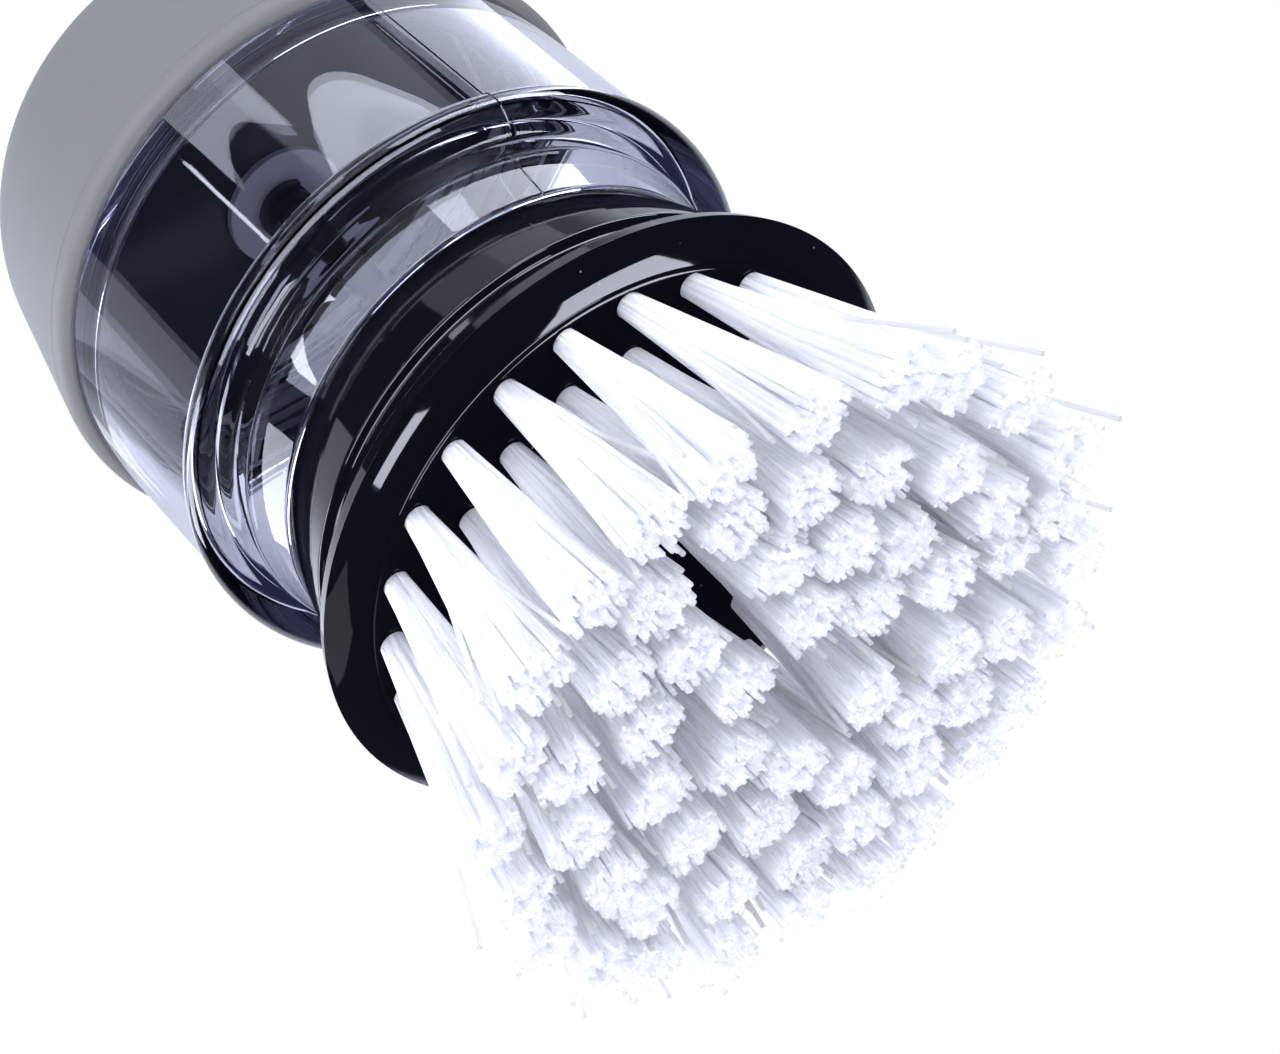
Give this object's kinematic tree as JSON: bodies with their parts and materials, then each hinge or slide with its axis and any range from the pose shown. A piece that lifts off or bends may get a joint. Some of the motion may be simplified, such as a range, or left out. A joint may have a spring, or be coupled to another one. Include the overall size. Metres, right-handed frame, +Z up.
{
  "type": "soap-dispensing dish brush",
  "caption": "Palm-held dish brush: domed press-top cap on a clear screw-on soap tank, above a flanged head of splayed nylon tufts; the button opens a sprung valve.",
  "frame": {"origin": "on the brush's axis, in the plane of the trimmed bristle ends that it stands on", "axes": "+Z up along the brush's axis, from the bristle ends towards the press button; -Y faces the picture's camera"},
  "size_m": [0.0724, 0.0724, 0.1181],
  "materials": {
    "cap_grey": "fine matte, soft to the touch",
    "button_grey": "matte silicone",
    "closure_black": "satin moulded",
    "sleeve_grey": "satin moulded",
    "plunger_black": "smooth moulded",
    "valve_black": "smooth moulded",
    "seal_silicone": "matte silicone",
    "spring_steel": "drawn stainless wire",
    "tank_clear": "clear, faintly violet, polished",
    "head_black": "glossy moulded",
    "bristle_white": "white nylon filaments"
  },
  "bodies": {
    "head": {"head_shell": "head_black", "tuft_disc": "head_black", "tufts_outer": "bristle_white", "tufts_middle": "bristle_white", "tufts_inner": "bristle_white", "tufts_core": "bristle_white", "anchor_wires": "spring_steel"},
    "neck_ring": {"neck_seal": "seal_silicone"},
    "tank": {"tank": "tank_clear", "stem_guide": "valve_black", "return_spring": "spring_steel"},
    "stem": {"valve_stem": "valve_black", "spring_cup": "valve_black", "valve_poppet": "valve_black", "poppet_ring": "seal_silicone"},
    "mouth_ring": {"cap_gasket": "seal_silicone"},
    "cap": {"cap_shell": "cap_grey", "cap_closure": "closure_black", "button_sleeve": "sleeve_grey", "plunger_seal": "seal_silicone"},
    "button": {"button_pad": "button_grey", "button_plunger": "plunger_black", "button_clip": "spring_steel"}
  },
  "joints": [
    {"name": "tank_lift", "type": "slide", "parent": "head", "child": "neck_ring", "axis": [0, 0, 1], "range_m": [0, 0.00902]},
    {"name": "tank_turn", "type": "hinge", "parent": "neck_ring", "child": "tank", "pos_m": [0, 0, 0.043], "axis": [0, 0, 1], "range_deg": [0, 810]},
    {"name": "cap_lift", "type": "slide", "parent": "tank", "child": "mouth_ring", "axis": [0, 0, 1], "range_m": [0, 0.00902]},
    {"name": "cap_turn", "type": "hinge", "parent": "mouth_ring", "child": "cap", "pos_m": [0, 0, 0.088], "axis": [0, 0, 1], "range_deg": [0, 810]},
    {"name": "button_press", "type": "slide", "parent": "cap", "child": "button", "axis": [0, 0, -1], "range_m": [0, 0.004], "stiffness_N_per_m": 500, "springref_m": -0.003},
    {"name": "stem_press", "type": "slide", "parent": "tank", "child": "stem", "axis": [0, 0, -1], "range_m": [0, 0.00401], "deforming": ["return_spring"]}
  ],
  "couplings": [
    {"joint": "tank_lift", "follows": "tank_turn", "m_per_rad": 0.00063662},
    {"joint": "cap_lift", "follows": "cap_turn", "m_per_rad": 0.00063662},
    {"joint": "stem_press", "follows": "button_press", "ratio": 1}
  ]
}
